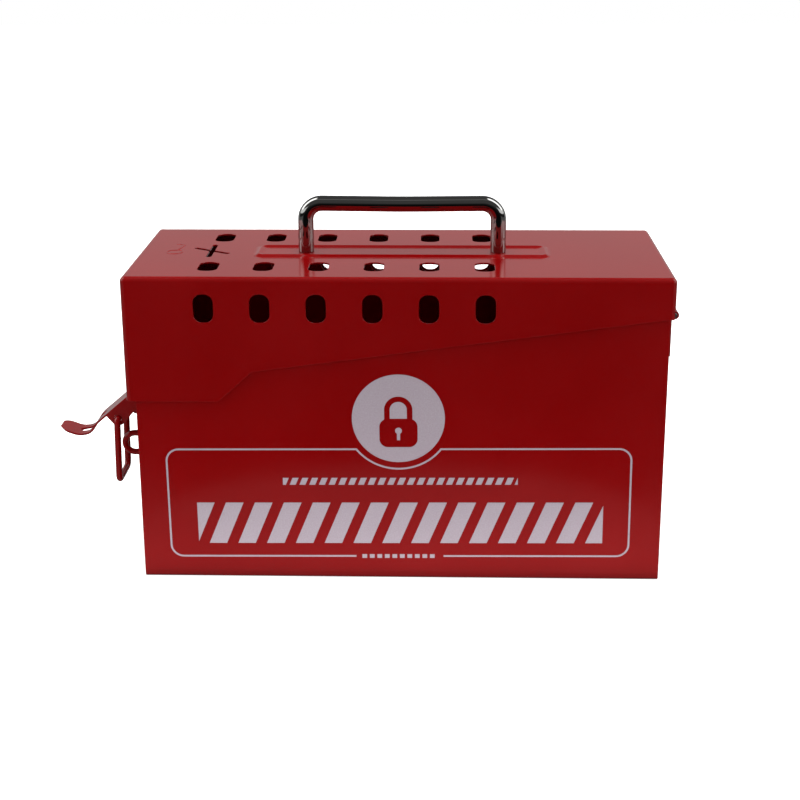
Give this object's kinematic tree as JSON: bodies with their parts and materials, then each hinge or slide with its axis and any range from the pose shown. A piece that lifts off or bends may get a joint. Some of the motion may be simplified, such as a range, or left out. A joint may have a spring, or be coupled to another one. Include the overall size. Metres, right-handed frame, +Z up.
{
  "type": "group lockout box",
  "caption": "Portable sheet-steel lockout box: hinged lid with padlock slots round its rim, key slot, fixed bent-rod handle, and a draw latch with a padlock eye.",
  "frame": {"origin": "middle of the box body's underside, on the surface it stands on", "axes": "+X from the latch end to the hinge end, +Y from front to rear, +Z up"},
  "size_m": [0.3076, 0.103, 0.1828],
  "materials": {
    "red_paint": "gloss powder coat",
    "chrome_rod": "polished",
    "zinc_steel": "zinc plated"
  },
  "bodies": {
    "box_body": {"body_wrap": "red_paint", "end_panel_left": "red_paint", "end_panel_right": "red_paint", "hinge_leaf_body": "red_paint", "hinge_pin": "zinc_steel", "latch_base": "red_paint", "latch_base_rivets": "red_paint", "latch_pivot_pin": "red_paint", "padlock_staple": "red_paint"},
    "lid": {"lid_shell": "red_paint", "hinge_leaf_lid": "red_paint", "lid_keeper": "red_paint", "keeper_rivets": "red_paint", "carry_handle": "chrome_rod", "handle_screw_left": "zinc_steel", "handle_screw_right": "zinc_steel", "handle_washer_left": "zinc_steel", "handle_washer_right": "zinc_steel"},
    "lever": {"latch_lever": "red_paint"},
    "bail": {"latch_bail": "red_paint"}
  },
  "joints": [
    {"name": "lid_hinge", "type": "hinge", "parent": "box_body", "child": "lid", "pos_m": [0.12905, 0, 0.1352], "axis": [0, 1, 0], "range_deg": [0, 180]},
    {"name": "lever_pivot", "type": "hinge", "parent": "box_body", "child": "lever", "pos_m": [-0.1351, 0, 0.0791], "axis": [0, 1, 0], "range_deg": [-49.5, 85.5]},
    {"name": "bail_pivot", "type": "hinge", "parent": "lever", "child": "bail", "pos_m": [-0.14525, 0, 0.0682], "axis": [0, 1, 0], "range_deg": [-85.5, 49.5]}
  ],
  "couplings": [
    {"joint": "bail_pivot", "follows": "lever_pivot", "ratio": -1}
  ]
}
